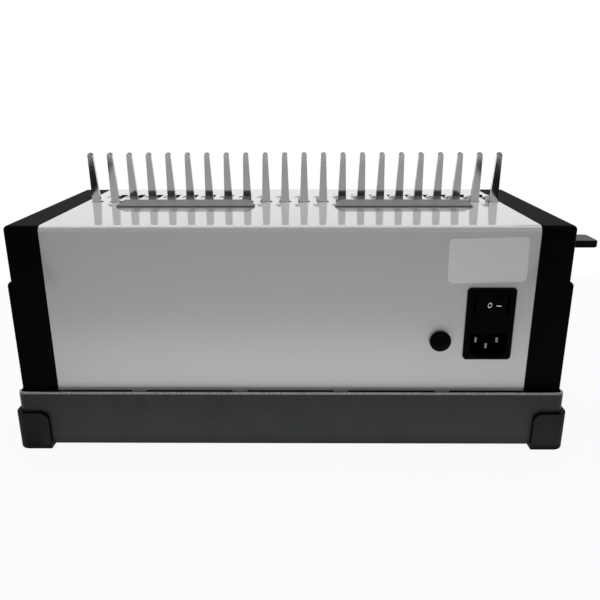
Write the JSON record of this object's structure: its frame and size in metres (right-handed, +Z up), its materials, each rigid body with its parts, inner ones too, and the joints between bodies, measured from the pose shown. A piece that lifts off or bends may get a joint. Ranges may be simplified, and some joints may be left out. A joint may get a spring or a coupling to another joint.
{
  "type": "comb binding machine",
  "caption": "Electric comb binding machine: punches a row of slots in paper edges, and opens plastic combs on a row of fingers with a side lever.",
  "frame": {"origin": "middle of the footprint of the whole machine, lever included, on the surface it stands on", "axes": "+X along the ring row, away from the lever (the user's right), +Y towards the rear panel with the power inlet, +Z up"},
  "size_m": [0.3948, 0.266, 0.1897],
  "materials": {
    "silver_paint": "satin silver powder coat",
    "charcoal_paint": "satin charcoal coat",
    "black_plastic": "fine-grained black",
    "gloss_black_plastic": "smooth black",
    "bright_steel": "polished",
    "machined_steel": "zinc plated or ground",
    "brass": "turned",
    "motor_metal": "dull grey",
    "circuit_board": "green solder mask",
    "board_parts": "moulded",
    "button_plastic": "smooth green"
  },
  "bodies": {
    "chassis": {"base_tray": "charcoal_paint", "corner_feet": "black_plastic", "top_housing": "silver_paint", "left_side_cover": "black_plastic", "right_side_cover": "black_plastic", "paper_table": "charcoal_paint", "finger_bar": "machined_steel", "comb_fingers": "bright_steel", "comb_rests": "bright_steel", "left_side_frame": "machined_steel", "right_side_frame": "machined_steel", "puller_rails": "machined_steel", "shaft_bushes": "brass", "die_block": "machined_steel", "punch_guide": "machined_steel", "back_stop": "machined_steel", "guide_posts": "machined_steel", "gearbox": "motor_metal", "motor": "motor_metal", "inlet_housing": "gloss_black_plastic", "inlet_pins": "bright_steel", "fuse_holder": "black_plastic", "circuit_board": "circuit_board", "board_parts": "board_parts", "board_standoffs": "brass", "button_switch": "black_plastic", "drawer_guides": "machined_steel", "cover_screws": "machined_steel", "frame_screws": "machined_steel"},
    "lever": {"lever_shaft": "machined_steel", "sector_gears": "machined_steel", "lever_arm": "machined_steel", "lever_grip": "black_plastic"},
    "puller": {"puller_plate": "machined_steel", "puller_hooks": "bright_steel", "puller_racks": "machined_steel"},
    "rocker": {"power_rocker": "gloss_black_plastic"},
    "fuse_cap": {"fuse_cap": "gloss_black_plastic"},
    "punch": {"punch_bar": "machined_steel", "punch_pins": "machined_steel"},
    "crank": {"eccentric_shaft": "machined_steel", "eccentric_discs": "machined_steel", "drive_gear": "machined_steel"},
    "pinion": {"drive_pinion": "machined_steel"},
    "button": {"punch_button": "button_plastic"},
    "edge_guide": {"edge_guide": "black_plastic"},
    "drawer": {"chip_drawer": "black_plastic"}
  },
  "joints": [
    {"name": "lever_swing", "type": "hinge", "parent": "chassis", "child": "lever", "pos_m": [0.0116, -0.00073, 0.125], "axis": [1, 0, 0], "range_deg": [0, 76]},
    {"name": "puller_slide", "type": "slide", "parent": "chassis", "child": "puller", "axis": [0, -1, 0], "range_m": [0, 0.02786]},
    {"name": "rocker_tilt", "type": "hinge", "parent": "chassis", "child": "rocker", "pos_m": [-0.1177, 0.12203, 0.1013], "axis": [0, 0, 1], "range_deg": [0, 14]},
    {"name": "fuse_cap_turn", "type": "hinge", "parent": "chassis", "child": "fuse_cap", "pos_m": [-0.0865, 0.128, 0.0768], "axis": [0, 1, 0], "range_deg": [0, 90]},
    {"name": "crank_turn", "type": "hinge", "parent": "chassis", "child": "crank", "pos_m": [0.0116, -0.02503, 0.09505], "axis": [1, 0, 0], "range_deg": [0, 180]},
    {"name": "punch_stroke", "type": "slide", "parent": "chassis", "child": "punch", "axis": [0, 0, -1], "range_m": [0, 0.01]},
    {"name": "pinion_turn", "type": "hinge", "parent": "chassis", "child": "pinion", "pos_m": [0.0116, 0.01296, 0.07544], "axis": [1, 0, 0], "range_deg": [-504.5, 0]},
    {"name": "button_press", "type": "slide", "parent": "chassis", "child": "button", "axis": [0, 0.7071, -0.7071], "range_m": [0, 0.0025], "stiffness_N_per_m": 400, "springref_m": -0.001},
    {"name": "edge_guide_slide", "type": "slide", "parent": "chassis", "child": "edge_guide", "axis": [1, 0, 0], "range_m": [0, 0.01]},
    {"name": "drawer_slide", "type": "slide", "parent": "chassis", "child": "drawer", "axis": [0, -1, 0], "range_m": [0, 0.09]}
  ],
  "couplings": [
    {"joint": "puller_slide", "follows": "lever_swing", "m_per_rad": 0.021},
    {"joint": "punch_stroke", "follows": "crank_turn", "m_per_rad": 0.003183},
    {"joint": "pinion_turn", "follows": "crank_turn", "ratio": -2.8}
  ]
}
